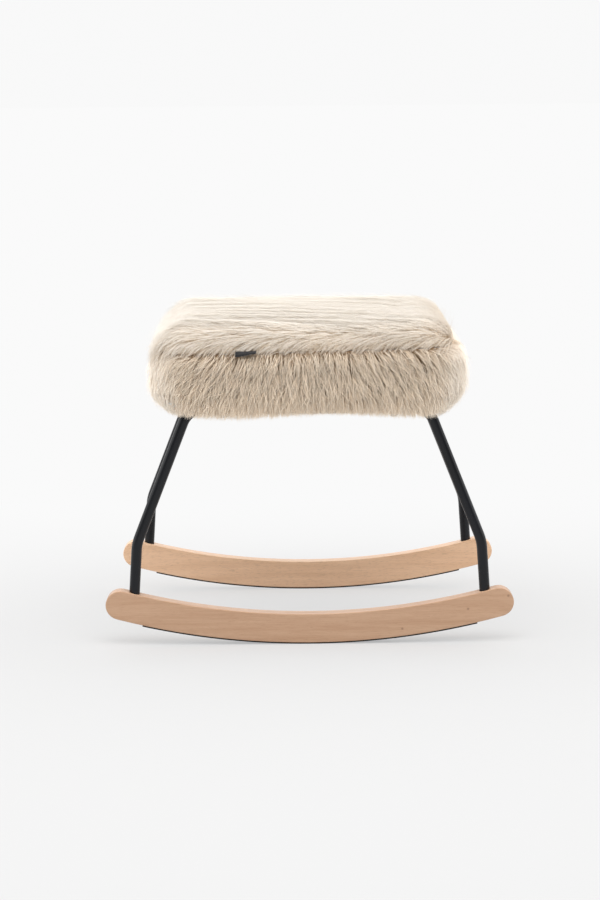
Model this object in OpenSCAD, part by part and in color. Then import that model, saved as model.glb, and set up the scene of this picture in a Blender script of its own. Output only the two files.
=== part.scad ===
// Rocking footstool. A fur covered pad sits on two bent tube hoops, and each hoop stands
// in a curved beech rocker with a thin rubber tread under it.
// The origin is on the floor under the middle of the stool. +X runs along the rockers,
// which is the way it rocks, and +Z is up. All lengths are millimetres.

/* [Rockers] */
// Length of a rocker over its round ends
rocker_len = 580; // [520:1:640]
// Thickness of the rocker's board
rocker_t = 22; // [20:0.5:30]
// Height of the rocker's side face, from tread side to top side
rocker_h = 41.5; // [38:0.5:50]
// Radius of the sole that rolls on the floor
sole_r = 1058; // [950:1:1300]
// Distance between the two rockers, middle to middle
rocker_gap = 350; // [338:1:354]
// Radius rounded onto the rocker's long edges
rocker_edge_r = 1.5; // [0.5:0.1:2.5]

/* [Treads] */
// Thickness of the rubber tread strip
tread_t = 2; // [1:0.1:4]
// Width of the tread strip
tread_w = 18; // [12:0.5:20]
// Length of the tread strip, measured along X
tread_len = 476; // [400:1:484]

/* [Leg hoops] */
// Outer diameter of the leg tube
tube_d = 15; // [13:0.1:16]
// Wall of the leg tube
tube_wall = 1.5; // [1:0.1:2]
// Distance from the rocker's end to where a leg enters it, measured along X
foot_in = 41; // [34:0.5:44]
// How far a leg leans in from its foot to its bend
knee_in = 4.7; // [1:0.1:13]
// Height of the bend of a leg
knee_z = 145.5; // [125:0.5:170]
// Radius of the bend of a leg, on the tube's middle line
knee_r = 60; // [40:1:90]
// Distance from the middle to the upper corner of the hoop
shoulder_x = 168.5; // [160:0.5:170]
// Height of the hoop's rail, on the tube's middle line
rail_z = 337.5; // [320:0.5:350]
// Radius of the hoop's upper bends, on the tube's middle line
shoulder_r = 30; // [26:1:40]
// Outer diameter of the cross tubes that join the two hoops
cross_d = 12; // [10:0.1:13]
// Wall of the cross tubes
cross_wall = 1.2; // [0.8:0.1:1.6]
// Distance from the middle to each cross tube
cross_x = 70; // [40:1:90]

/* [Foot joints] */
// Depth of the socket that takes the tube's end, below the rocker's top side
socket_depth = 20; // [16:0.5:22]
// Clearance around the tube in its socket, on the radius
socket_clear = 0.1; // [0.05:0.05:0.3]
// Length of the threaded plug inside the tube's end
plug_len = 22; // [18:1:30]
// Depth of the counterbore for the bolt's head
counterbore_depth = 8; // [6:0.5:9]
// Diameter of the counterbore
counterbore_d = 14; // [13.5:0.5:16]
// Length of the foot bolt under its head
foot_bolt_len = 28; // [26:1:30]
// Outer diameter of the foot washer
foot_washer_d = 12; // [11:0.5:13]
// Thickness of the foot washer
foot_washer_t = 1.5; // [1:0.1:2]

/* [Screws] */
// Thread diameter of all the bolts
thread_d = 6; // [5:0.5:6]
// Diameter of the clearance hole for a bolt
bolt_hole_d = 6.6; // [6.2:0.1:7]
// Diameter of a bolt's button head
head_d = 10.5; // [9:0.5:11]
// Height of a bolt's button head
head_h = 3.3; // [2.5:0.1:4]
// Hexagon socket of a bolt, across flats
hex_af = 4; // [3:0.5:4]
// Depth of a bolt's hexagon socket
hex_depth = 2; // [1.5:0.1:2.2]

/* [Seat board] */
// Thickness of the plywood board
board_t = 12; // [10:0.5:15]
// Distance from the middle to each seat bolt
seat_bolt_x = 120; // [100:1:135]
// Length of the seat bolt under its head
seat_bolt_len = 29; // [28:0.5:29.5]
// Outer diameter of the saddle washer
saddle_d = 14; // [12:0.5:15]
// Height of the saddle washer
saddle_h = 4; // [3:0.1:5]
// Metal left under the tube in the saddle washer
saddle_floor = 1.6; // [1:0.1:2]
// Diameter of the tee nut's flange
tee_flange_d = 19; // [16:0.5:22]
// Thickness of the tee nut's flange
tee_flange_t = 1.2; // [0.8:0.1:2]
// Outer diameter of the tee nut's barrel
tee_barrel_d = 8; // [7.5:0.1:9]
// Length of the tee nut's barrel
tee_barrel_len = 9; // [7:0.5:9.5]

/* [Pad] */
// How far each end of the fur stands out past the upper corner of the hoops
pad_end = 52.5; // [49.5:0.5:66]
// How far each long side of the fur stands out past the middle line of its hoop
pad_over = 35; // [33:0.5:50]
// How far the fur hangs below the seat board
lip_drop = 16; // [10:0.5:18]
// Height above the board's lower face where the band starts to turn under
low_up = 25; // [18:1:34]
// Straight height of the band, between its two roundings
side_h = 22; // [10:1:34]
// How far the pad's top edge is rounded in
shoulder_in = 61; // [50:1:70]
// How far the pad's top edge is rounded up
shoulder_up = 68; // [60:1:80]
// Rise of the crown in the middle of the top
crown = 3; // [0:0.5:12]
// How far the middle of each side is drawn in between the corners
side_pull = 3; // [0:0.5:6]
// Corner radius of the flat part of the top, seen from above
corner_r = 6; // [4:0.5:16]
// How far the seam between the top panel and the band lies below the edge of the flat top
seam_down = 39; // [30:1:48]
// Depth of the seam's groove in the fur
groove_d = 6; // [2:0.5:9]
// Half width of the seam's groove
groove_w = 5; // [3:0.5:8]
// How far the band turns in at its lower edge
low_in = 21; // [18:0.5:22]
// Thickness of the fur fabric with its pile
fur_t = 14; // [10:0.5:15]
// Thickness of the wadding over the foam
wad_t = 8; // [5:0.5:9]
// Gap between soft layers
soft_gap = 0.3; // [0.1:0.1:0.6]

/* [Underside] */
// Thickness of the turned fur backing stapled under the board
hem_t = 1.2; // [0.8:0.1:2]
// Width of the turned hem
hem_w = 30; // [26:1:40]
// Thickness of the dust cover
cover_t = 0.8; // [0.5:0.1:1]
// Distance of the dust cover's edge from the board's edge
cover_in = 5; // [4.4:0.1:6]
// Distance of the staples from the dust cover's edge
staple_in = 2.2; // [1.8:0.1:2.6]
// Width of a staple over its crown
staple_w = 10; // [6:0.5:12]
// Length of a staple's legs
staple_leg = 8; // [6:0.5:10]
// Side of the staple's square wire
staple_wire = 0.6; // [0.4:0.1:0.8]
// Distance between staples
staple_pitch = 50; // [40:1:60]

/* [Tab] */
// Width of the blank cloth tab in the front seam
tab_w = 29; // [20:1:40]
// Length of the tab that hangs over the band
tab_drop = 10; // [6:0.5:14]
// Thickness of the tab
tab_t = 0.5; // [0.3:0.1:0.6]
// Length of the tab held inside the seam
tab_root = 6.5; // [4:0.5:7]
// Place of the tab's middle along X
tab_x = -86; // [-110:1:110]

/* [Hidden] */

// One overrun serves every cut, and a fine and a coarse count serve the round shapes
over = 1;
arc_fn = 720;
round_fn = 64;
arc_steps = 24;
end_steps = 14;
edge_steps = 3;
tube_sides = 24;
knee_steps = 4;
shoulder_steps = 10;

// The rocker's arcs all share one middle, straight above the origin
wood_r = sole_r - tread_t;
top_r = wood_r - rocker_h;
mid_r = wood_r - rocker_h / 2;
end_angle = asin((rocker_len / 2 - rocker_h / 2) / mid_r);
tread_angle = asin(tread_len / 2 / wood_r);

// Feet stand on the rocker's top arc and lean towards the bend
foot_x = rocker_len / 2 - foot_in;
knee_x = foot_x - knee_in;
foot_z = sole_r - sqrt(top_r * top_r - foot_x * foot_x);
lean = atan2(knee_x - foot_x, knee_z - foot_z);
socket_low = socket_depth + tube_d / 2 * tan(asin(foot_x / top_r));
sole_x = foot_x - rocker_h * tan(lean);
sole_drop = foot_z - (sole_r - sqrt(wood_r * wood_r - sole_x * sole_x));
bolt_seat = sole_drop / cos(lean) - counterbore_depth;

// The hoop's rail carries the dust cover, the hem and the board, in that order
rail_top = rail_z + tube_d / 2;
hem_z = rail_top + cover_t;
board_z = hem_z + hem_t;
board_top = board_z + board_t;

// Heights of the fur, all counted from the board that it is stapled to
low_z = board_z + low_up;
low_down = low_up + lip_drop;
wide_z = low_z + side_h;
seam_z = wide_z + shoulder_up - seam_down;

// The pad is a flat core outline pushed out sideways, which gives every layer one shape
core_x = shoulder_x + pad_end - shoulder_in;
core_y = rocker_gap / 2 + pad_over - shoulder_in;
wad_off = fur_t + soft_gap;
foam_off = wad_off + wad_t + soft_gap;
board_out = shoulder_in - foam_off;
cover_out = board_out - cover_in;
staple_out = cover_out - staple_in;
corner_steps = 6;
side_steps = 4;
up_shares = [0.35, 0.7, 1];
down_shares = [0.7, 0.35];

// Outline of a bolt's button head, in shares of its radius and its height
head_shares = [[0, 0], [1, 0], [1, 0.25], [0.84, 0.7], [0.6, 1], [0, 1]];

// Height of a shoulder point, and how far it stands out from the core outline
function up_at(v, off) = wide_z + (shoulder_up - off) * sin(v);
function groove_at(z) = groove_d * exp(-pow((z - seam_z) / groove_w, 2));
function out_at(v, off) = (shoulder_in - off) * cos(v) - (off == 0 ? groove_at(up_at(v, 0)) : 0);
function seam_v(off, gap) = asin((seam_z + gap - wide_z) / (shoulder_up - off));

// A station is how far a ring stands out, its height, its share of the outline's size, and how
// far its sides are drawn in, which only the outside of the fur is
function pull_at(off) = off == 0 ? side_pull : 0;
function shoulder(v, off) = [out_at(v, off), up_at(v, off), 1, pull_at(off)];
function crown_at(share, off) =
    [0, up_at(90, off) + crown * (1 - share * share), share, pull_at(off)];
function shoulder_run(v0, v1, steps, off) =
    [for (i = [0:steps]) shoulder(v0 + (v1 - v0) * pow(i / steps, 2), off)];
function reversed(list) = [for (i = [len(list) - 1:-1:0]) list[i]];

// Outline seen from above: round corners, and sides drawn in between them
function signs(q) = [q == 0 || q == 3 ? 1 : -1, q < 2 ? 1 : -1];
function corner(q, hx, hy, r, i) =
    let (t = 90 * (q + i / corner_steps), s = signs(q))
    [s.x * (hx - r) + r * cos(t), s.y * (hy - r) + r * sin(t)];
function side(q, hx, hy, r, pull, k) =
    let (a = corner(q, hx, hy, r, corner_steps), b = corner((q + 1) % 4, hx, hy, r, 0),
        share = k / side_steps)
    a + (b - a) * share - pull * sin(180 * share) * [cos(90 * (q + 1)), sin(90 * (q + 1))];
function outline(hx, hy, r, pull) = [for (q = [0:3]) each concat(
    [for (i = [0:corner_steps]) corner(q, hx, hy, r, i)],
    [for (k = [1:side_steps - 1]) side(q, hx, hy, r, pull, k)])];
function ring(s) = [for (p = outline(core_x + s[0], core_y + s[0], corner_r + s[0], s[3]))
    [p.x * s[2], p.y * s[2], s[1]]];

// Closed skin over a list of rings, each running right-handed about the way they follow each
// other. Looped, the last ring joins the first. Otherwise both ends are closed, with a fan if
// they have a middle each, or with rungs between the two halves of the ring.
module skin(rings, looped = false, middles = []) {
    n = len(rings);
    m = len(rings[0]);
    last = (n - 1) * m;
    walls = [for (i = [0:looped ? n - 1 : n - 2], j = [0:m - 1])
        let (a = i * m, b = ((i + 1) % n) * m, k = (j + 1) % m)
        each [[a + j, b + j, b + k], [a + j, b + k, a + k]]];
    rungs = [for (j = [0:m / 2 - 1])
        each [if (j > 0) [j, m - j - 1, m - j], if (j < m / 2 - 1) [j, j + 1, m - j - 1]]];
    ladder = concat(rungs, [for (t = rungs) [last + t[2], last + t[1], last + t[0]]]);
    fans = [for (j = [0:m - 1]) let (k = (j + 1) % m)
        each [[n * m, j, k], [n * m + 1, last + k, last + j]]];
    ends = looped ? [] : len(middles) == 0 ? ladder : fans;
    polyhedron([for (r = rings) each r, each middles], concat(walls, ends), convexity = 6);
}

// Soft layer through its stations
module loft(stations, looped = false) {
    n = len(stations);
    skin([for (s = stations) ring(s)], looped,
        looped ? [] : [[0, 0, stations[0][1]], [0, 0, stations[n - 1][1]]]);
}

// Flat plate in the shape of the pad's outline, pushed out by a distance
module plate(out, z, t) {
    translate([0, 0, z])
        linear_extrude(t)
            rounded_bar(2 * (core_x + out), 2 * (core_y + out), corner_r + out);
}

// Rectangle with round corners, centred
module rounded_bar(w, h, r) {
    square([w - 2 * r, h], center = true);
    square([w, h - 2 * r], center = true);
    for (x = [-1, 1], y = [-1, 1])
        translate([x * (w / 2 - r), y * (h / 2 - r)])
            circle(r, $fn = round_fn);
}

// Sweeps a flat shape about the rocker's middle, between two angles from straight down
module along_arc(from, to) {
    translate([0, 0, sole_r])
        rotate([90, 0, 0])
            rotate([0, 0, from - 90])
                rotate_extrude(angle = to - from, $fn = arc_fn)
                    children();
}

// Puts its children on the rocker or hoop in front (-1) or behind (1)
module on_rocker(which) {
    translate([0, which * rocker_gap / 2, 0])
        children();
}

// Puts its children at a foot, with +Z up the leg
module at_foot(which) {
    translate([which * foot_x, 0, foot_z])
        rotate([0, which * lean, 0])
            children();
}

module at_feet() {
    for (y = [-1, 1], x = [-1, 1])
        on_rocker(y) at_foot(x) children();
}

module at_seat_bolts() {
    for (y = [-1, 1], x = [-1, 1])
        on_rocker(y) translate([x * seat_bolt_x, 0, 0]) children();
}

// Side view of the rocker: two arcs about one middle and a full round at each end. It starts
// at the left tip and runs under the rocker first, so its two halves mirror each other.
function on_arc(r, a) = [r * sin(a), sole_r - r * cos(a)];
function round_end(a, from, r, i0, i1) = [for (i = [i0:i1])
    on_arc(mid_r, a) + r * [cos(from + 180 * i / end_steps), sin(from + 180 * i / end_steps)]];
function long_arc(r, from, to) = [for (i = [1:arc_steps - 1])
    on_arc(r, from + (to - from) * i / arc_steps)];
function rocker_side(inset) = let (r = rocker_h / 2 - inset, left = 90 - end_angle) concat(
    round_end(-end_angle, left, r, end_steps / 2, end_steps),
    long_arc(wood_r - inset, -end_angle, end_angle),
    round_end(end_angle, end_angle - 90, r, 0, end_steps),
    long_arc(top_r + inset, end_angle, -end_angle),
    round_end(-end_angle, left, r, 0, end_steps / 2 - 1));

// Rings of the rocker from its rear face to its front face, with every edge rounded
function edge_ring(which, a) =
    [for (p = rocker_side(rocker_edge_r * (1 - sin(a))))
        [p.x, which * (rocker_t / 2 - rocker_edge_r * (1 - cos(a))), p.y]];

module curved_rocker() {
    difference() {
        skin(concat(
            [for (i = [0:edge_steps]) edge_ring(1, 90 * i / edge_steps)],
            [for (i = [edge_steps:-1:0]) edge_ring(-1, 90 * i / edge_steps)]));
        for (x = [-1, 1]) at_foot(x) foot_cuts();
    }
}

// Socket for the tube, bolt hole and counterbore, one below the other
module foot_cuts() {
    translate([0, 0, -socket_low])
        cylinder(d = tube_d + 2 * socket_clear, h = socket_low + rocker_h, $fn = round_fn);
    translate([0, 0, -bolt_seat - over])
        cylinder(d = bolt_hole_d, h = bolt_seat + over, $fn = round_fn);
    translate([0, 0, -bolt_seat - rocker_h])
        cylinder(d = counterbore_d, h = rocker_h, $fn = round_fn);
}

module tread_strip() {
    along_arc(-tread_angle, tread_angle)
        translate([wood_r + tread_t / 2, 0])
            square([tread_t, tread_w], center = true);
}

// The hoop's route in the XZ plane as [place, heading], in at the right foot and out at the left
function heading(a, b) = atan2(b.y - a.y, b.x - a.x);
function toward(p, angle, s) = p + s * [cos(angle), sin(angle)];
function bend(p, from, to, r, steps) =
    let (start = toward(p, from, -r * tan((to - from) / 2)), middle = toward(start, from + 90, r))
    [for (i = [0:steps]) let (h = from + (to - from) * i / steps) [toward(middle, h - 90, r), h]];
foot = [foot_x, foot_z];
knee = [knee_x, knee_z];
shoulder_p = [shoulder_x, rail_z];
low_heading = heading(foot, knee);
high_heading = heading(knee, shoulder_p);
right_half = concat([[toward(foot, low_heading, -socket_low), low_heading]],
    bend(knee, low_heading, high_heading, knee_r, knee_steps),
    bend(shoulder_p, high_heading, 180, shoulder_r, shoulder_steps));
left_half = [for (s = reversed(right_half)) [[-s[0].x, s[0].y], 360 - s[1]]];
route = concat(right_half, left_half);

// Ring of the tube at a stop on its route, square to the tube
function tube_ring(s, r) = [for (j = [0:tube_sides - 1])
    let (t = 360 * j / tube_sides, p = toward(s[0], s[1] + 90, r * cos(t)))
    [p.x, -r * sin(t), p.y]];

module bent_hoop() {
    bore_r = (tube_d / 2 - tube_wall) / cos(180 / tube_sides);
    difference() {
        skin(concat([for (s = route) tube_ring(s, tube_d / 2)],
            [for (s = reversed(route)) tube_ring(s, bore_r)]), looped = true);
        for (x = [-1, 1])
            translate([x * seat_bolt_x, 0, rail_z - tube_d])
                cylinder(d = bolt_hole_d, h = 2 * tube_d, $fn = round_fn);
    }
}

// Cross tube with its ends coped to the rails
module coped_tube(which) {
    difference() {
        translate([which * cross_x, 0, rail_z])
            rotate([90, 0, 0])
                difference() {
                    cylinder(d = cross_d, h = rocker_gap, center = true, $fn = round_fn);
                    cylinder(d = cross_d - 2 * cross_wall, h = rocker_gap + 2 * over,
                        center = true, $fn = round_fn);
                }
        for (y = [-1, 1])
            on_rocker(y)
                translate([which * cross_x, 0, rail_z])
                    rotate([0, 90, 0])
                        cylinder(d = tube_d, h = 2 * cross_d, center = true, $fn = round_fn);
    }
}

// Button head bolt, head down, with the underside of its head at the origin
module bolt(length) {
    difference() {
        union() {
            cylinder(d = thread_d, h = length, $fn = round_fn);
            rotate_extrude($fn = round_fn)
                polygon([for (share = head_shares) [share.x * head_d / 2, -share.y * head_h]]);
        }
        translate([0, 0, -head_h - over])
            cylinder(d = hex_af / cos(30), h = hex_depth + over, $fn = 6);
    }
}

module foot_plugs() {
    color("#b4b6b8")
        at_feet() translate([0, 0, -socket_low])
            difference() {
                cylinder(d = tube_d - 2 * tube_wall, h = plug_len, $fn = round_fn);
                translate([0, 0, -over])
                    cylinder(d = thread_d, h = plug_len + 2 * over, $fn = round_fn);
            }
}

module foot_bolts() {
    color("#8d9093")
        at_feet() translate([0, 0, -bolt_seat - foot_washer_t]) bolt(foot_bolt_len);
}

module foot_washers() {
    color("#b4b6b8")
        at_feet() translate([0, 0, -bolt_seat - foot_washer_t])
            difference() {
                cylinder(d = foot_washer_d, h = foot_washer_t, $fn = round_fn);
                translate([0, 0, -over])
                    cylinder(d = bolt_hole_d, h = foot_washer_t + 2 * over, $fn = round_fn);
            }
}

// The saddle washers hug the rails from below, and the bolts' heads bear on them
saddle_z = rail_z - tube_d / 2 - saddle_floor;

module saddle_washers() {
    color("#b4b6b8")
        difference() {
            at_seat_bolts() translate([0, 0, saddle_z])
                difference() {
                    cylinder(d = saddle_d, h = saddle_h, $fn = round_fn);
                    translate([0, 0, -over])
                        cylinder(d = bolt_hole_d, h = saddle_h + 2 * over, $fn = round_fn);
                }
            for (y = [-1, 1])
                on_rocker(y)
                    translate([0, 0, rail_z])
                        rotate([0, 90, 0])
                            cylinder(d = tube_d, h = 2 * shoulder_x, center = true, $fn = round_fn);
        }
}

module seat_bolts() {
    color("#8d9093")
        at_seat_bolts() translate([0, 0, saddle_z]) bolt(seat_bolt_len);
}

module tee_nuts() {
    color("#c9b27a")
        at_seat_bolts() translate([0, 0, board_top])
            difference() {
                union() {
                    cylinder(d = tee_flange_d, h = tee_flange_t, $fn = round_fn);
                    translate([0, 0, -tee_barrel_len])
                        cylinder(d = tee_barrel_d, h = tee_barrel_len + tee_flange_t, $fn = round_fn);
                }
                translate([0, 0, -tee_barrel_len - over])
                    cylinder(d = thread_d, h = tee_barrel_len + tee_flange_t + 2 * over, $fn = round_fn);
            }
}

// Straight holes through the layers under the board
module bolt_holes(d) {
    at_seat_bolts() translate([0, 0, rail_z])
        cylinder(d = d, h = board_top - rail_z + over, $fn = round_fn);
}

// Staples stand in rows along the four edges of the dust cover, crown down
module at_staples() {
    long = floor((core_x - corner_r) / staple_pitch);
    short = floor((core_y - corner_r) / staple_pitch);
    for (s = [-1, 1], i = [-long:long])
        translate([i * staple_pitch, s * (core_y + staple_out), rail_top]) children();
    for (s = [-1, 1], i = [-short:short])
        translate([s * (core_x + staple_out), i * staple_pitch, rail_top])
            rotate([0, 0, 90]) children();
}

module staple_legs() {
    for (x = [-1, 1])
        translate([x * (staple_w - staple_wire) / 2, 0, staple_leg / 2])
            cube([staple_wire, staple_wire, staple_leg], center = true);
}

module one_staple() {
    staple_legs();
    translate([0, 0, -staple_wire / 2])
        cube([staple_w, staple_wire, staple_wire], center = true);
}

module seat_board() {
    color("#d9bd8f")
        difference() {
            plate(board_out, board_z, board_t);
            bolt_holes(tee_barrel_d);
            at_staples() staple_legs();
        }
}

module dust_cover() {
    color("#1d1d1f")
        difference() {
            plate(cover_out, rail_top, cover_t);
            bolt_holes(bolt_hole_d);
            at_staples() staple_legs();
        }
}

module foam_core() {
    color("#ead9a6")
        difference() {
            loft(concat([[board_out, board_top, 1, 0]], shoulder_run(0, 90, 5, foam_off),
                [for (share = down_shares) crown_at(share, foam_off)]));
            at_seat_bolts() translate([0, 0, board_top - over])
                cylinder(d = tee_flange_d + 2 * soft_gap, h = over + tee_flange_t + soft_gap,
                    $fn = round_fn);
        }
}

// Sheet of wadding over the foam and down to the board's lower face
module wadding() {
    inner = wad_off + wad_t;
    color("#f4f4f1")
        loft(concat([for (share = up_shares) crown_at(share, inner)],
            [for (v = [67.5, 45, 22.5, 0]) shoulder(v, inner)],
            [[shoulder_in - inner, board_z, 1, 0], [shoulder_in - wad_off, board_z, 1, 0]],
            [for (v = [0:18:90]) shoulder(v, wad_off)],
            [for (share = down_shares) crown_at(share, wad_off)]));
}

// Top panel, from the seam up and over the crown
module fur_top() {
    gap = soft_gap;
    color("#ddd0bb")
        loft(concat([for (share = up_shares) crown_at(share, fur_t)],
            [for (i = [1:6]) shoulder(90 + (seam_v(fur_t, gap) - 90) * i / 6, fur_t)],
            shoulder_run(seam_v(0, gap), 90, 9, 0),
            [for (share = down_shares) crown_at(share, 0)]));
}

// Band from the seam down around the side, with its hem turned under the board
module fur_band() {
    gap = -soft_gap;
    inside = shoulder_in - fur_t;
    hem_out = board_out - hem_w;
    lip_out = shoulder_in - low_in;
    color("#d2c1a8")
        difference() {
            loft(concat([for (v = [1, 0.5, 0]) shoulder(v * seam_v(fur_t, gap), fur_t)],
                [[inside, board_z, 1, 0], [hem_out, board_z, 1, 0], [hem_out, hem_z, 1, 0],
                    [lip_out, hem_z, 1, 0]],
                [for (v = [90:-15:0])
                    [shoulder_in - low_in * (1 - cos(v)), low_z - low_down * sin(v), 1, side_pull]],
                reversed(shoulder_run(seam_v(0, gap), 0, 5, 0))), looped = true);
            bolt_holes(bolt_hole_d);
            at_staples() staple_legs();
        }
}

// Blank tab caught in the front seam, hanging over the band
module blank_tab() {
    flat_half = core_x - corner_r;
    pull = side_pull * sin(180 * (flat_half + tab_x) / (2 * flat_half));
    face_y = core_y + shoulder_in - pull;
    seam_y = core_y + out_at(seam_v(0, 0), 0) - pull;
    color("#1a1a1c")
        translate([tab_x, 0, seam_z])
            union() {
                translate([0, -(face_y + seam_y - tab_root) / 2, 0])
                    cube([tab_w, face_y - seam_y + tab_root, tab_t], center = true);
                translate([0, -face_y + tab_t / 2, (tab_t - tab_drop) / 2])
                    cube([tab_w, tab_t, tab_drop], center = true);
            }
}

module rocker_front() { color("#c79e78") on_rocker(-1) curved_rocker(); }
module rocker_rear() { color("#c79e78") on_rocker(1) curved_rocker(); }
module tread_front() { color("#202022") on_rocker(-1) tread_strip(); }
module tread_rear() { color("#202022") on_rocker(1) tread_strip(); }
module leg_hoop_front() { color("#232529") on_rocker(-1) bent_hoop(); }
module leg_hoop_rear() { color("#232529") on_rocker(1) bent_hoop(); }
module cross_tube_left() { color("#232529") coped_tube(-1); }
module cross_tube_right() { color("#232529") coped_tube(1); }
module staples() { color("#b4b6b8") at_staples() one_staple(); }

rocker_front();
rocker_rear();
tread_front();
tread_rear();
leg_hoop_front();
leg_hoop_rear();
cross_tube_left();
cross_tube_right();
foot_plugs();
foot_bolts();
foot_washers();
seat_board();
seat_bolts();
saddle_washers();
tee_nuts();
foam_core();
wadding();
fur_top();
fur_band();
dust_cover();
staples();
blank_tab();
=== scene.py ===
import math

import bmesh
import bpy
import numpy as np
from mathutils import Matrix, Vector, kdtree


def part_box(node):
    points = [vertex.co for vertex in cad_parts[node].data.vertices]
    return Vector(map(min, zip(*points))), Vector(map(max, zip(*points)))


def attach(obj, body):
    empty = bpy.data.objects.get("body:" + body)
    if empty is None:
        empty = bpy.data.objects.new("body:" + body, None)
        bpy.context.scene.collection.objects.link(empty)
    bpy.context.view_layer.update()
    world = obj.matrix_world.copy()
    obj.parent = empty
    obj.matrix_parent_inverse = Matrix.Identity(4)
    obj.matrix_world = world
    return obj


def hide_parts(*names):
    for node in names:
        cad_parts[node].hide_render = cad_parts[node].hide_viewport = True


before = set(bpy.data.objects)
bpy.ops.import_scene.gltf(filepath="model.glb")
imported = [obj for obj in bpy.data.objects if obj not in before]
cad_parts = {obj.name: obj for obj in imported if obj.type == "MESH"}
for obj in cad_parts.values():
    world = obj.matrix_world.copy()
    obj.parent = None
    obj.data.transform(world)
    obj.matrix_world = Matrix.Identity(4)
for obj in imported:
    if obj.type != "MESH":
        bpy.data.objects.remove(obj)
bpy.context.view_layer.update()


# Rockers: two boards of solid beech, sawn to a shallow curve with full round ends. Their long
# edges are rounded over and the wood is oiled, so the grain shows. The leg tubes stand in
# sockets bored into their upper edge.
def linear(red, green, blue):
    """A colour seen on a screen, from 0 to 255, in the renderer's own linear values."""
    return tuple(((c / 255 + 0.055) / 1.055) ** 2.4 for c in (red, green, blue)) + (1,)


def feed(tree, socket, value):
    """Gives a socket its value, or links it to the socket that feeds it."""
    if isinstance(value, bpy.types.NodeSocket):
        tree.links.new(value, socket)
    else:
        socket.default_value = value


def add_node(tree, kind, inputs=None, **settings):
    """Adds a shader node. An input is a value or the socket that feeds it."""
    made = tree.nodes.new("ShaderNode" + kind)
    for name, value in settings.items():
        setattr(made, name, value)
    for name, value in (inputs or {}).items():
        feed(tree, made.inputs[name], value)
    return made


def maths(tree, operation, *values):
    """One step of arithmetic on numbers or sockets."""
    return add_node(tree, "Math", dict(enumerate(values)), operation=operation).outputs["Value"]


def mapped(tree, value, low, high, to_low=0.0, to_high=1.0, **settings):
    """Spreads one range of a value over another range."""
    return add_node(tree, "MapRange", {"Value": value, "From Min": low, "From Max": high,
        "To Min": to_low, "To Max": to_high}, **settings).outputs["Result"]


def blended(tree, share, first, second):
    """Mix of two colours."""
    return add_node(tree, "Mix", {"Factor": share, "A": first, "B": second},
        data_type="RGBA").outputs["Result"]


def new_finish(name, metallic=0.0, specular=0.5, coat=0.0, coat_roughness=0.1, sheen=0.0):
    """Material with a bare Principled shader. Its constant values sit on the shader itself."""
    finish = bpy.data.materials.new(name)
    finish.use_nodes = True
    shader = finish.node_tree.nodes["Principled BSDF"]
    shader.inputs["Metallic"].default_value = metallic
    shader.inputs["Specular IOR Level"].default_value = specular
    shader.inputs["Coat Weight"].default_value = coat
    shader.inputs["Coat Roughness"].default_value = coat_roughness
    shader.inputs["Sheen Weight"].default_value = sheen
    return finish, finish.node_tree, shader


def object_spot(tree):
    """Where a point lies in its piece."""
    return add_node(tree, "TexCoord").outputs["Object"]


def dress(tree, shader, colour, roughness, height=None, depth=0.0):
    """Feeds the shader its colour and roughness, and a height into its normal."""
    feed(tree, shader.inputs["Base Color"], colour)
    feed(tree, shader.inputs["Roughness"], roughness)
    if height is not None:
        bump = add_node(tree, "Bump", {"Height": height, "Distance": depth})
        tree.links.new(bump.outputs["Normal"], shader.inputs["Normal"])


def new_effect(name, inputs, outputs):
    """Empty shader node group, with its named sockets and its input and output nodes."""
    effect = bpy.data.node_groups.new(name, "ShaderNodeTree")
    for socket, kind, value in inputs:
        made = effect.interface.new_socket(socket, in_out="INPUT", socket_type="NodeSocket" + kind)
        if value is not None:
            made.default_value = value
    for socket, kind in outputs:
        effect.interface.new_socket(socket, in_out="OUTPUT", socket_type="NodeSocket" + kind)
    return effect, effect.nodes.new("NodeGroupInput"), effect.nodes.new("NodeGroupOutput")


def use_effect(tree, effect, inputs):
    """Places a shader node group in a material, with this material's own values."""
    return add_node(tree, "Group", inputs, node_tree=effect)


# Wood grain runs along X. Slow streaks give the boards their light and dark bands, fine ones
# the fibres, and short dark flecks the rays that beech shows.
grain, grain_in, grain_out = new_effect("wood_grain", [
    ("Vector", "Vector", None), ("Light", "Color", None), ("Dark", "Color", None),
    ("Fleck", "Color", None), ("Fleck share", "Float", 0.5)],
    [("Color", "Color"), ("Height", "Float"), ("Roughness", "Float")])
at = grain_in.outputs
wander = add_node(grain, "TexNoise", {"Vector": at["Vector"], "Scale": 9.0, "Detail": 2.0})
bent = add_node(grain, "VectorMath", {0: wander.outputs["Color"], 1: (0.0, 0.005, 0.005)},
    operation="MULTIPLY")
place = add_node(grain, "VectorMath", {0: at["Vector"], 1: bent.outputs["Vector"]},
    operation="ADD").outputs["Vector"]


def streaks(tree, place, stretch, detail):
    """Noise drawn out along the grain."""
    moved = add_node(tree, "Mapping", {"Vector": place, "Scale": stretch})
    drawn = add_node(tree, "TexNoise", {"Vector": moved.outputs["Vector"], "Scale": 1.0,
        "Detail": detail, "Roughness": 0.6})
    return drawn.outputs["Fac"]


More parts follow.
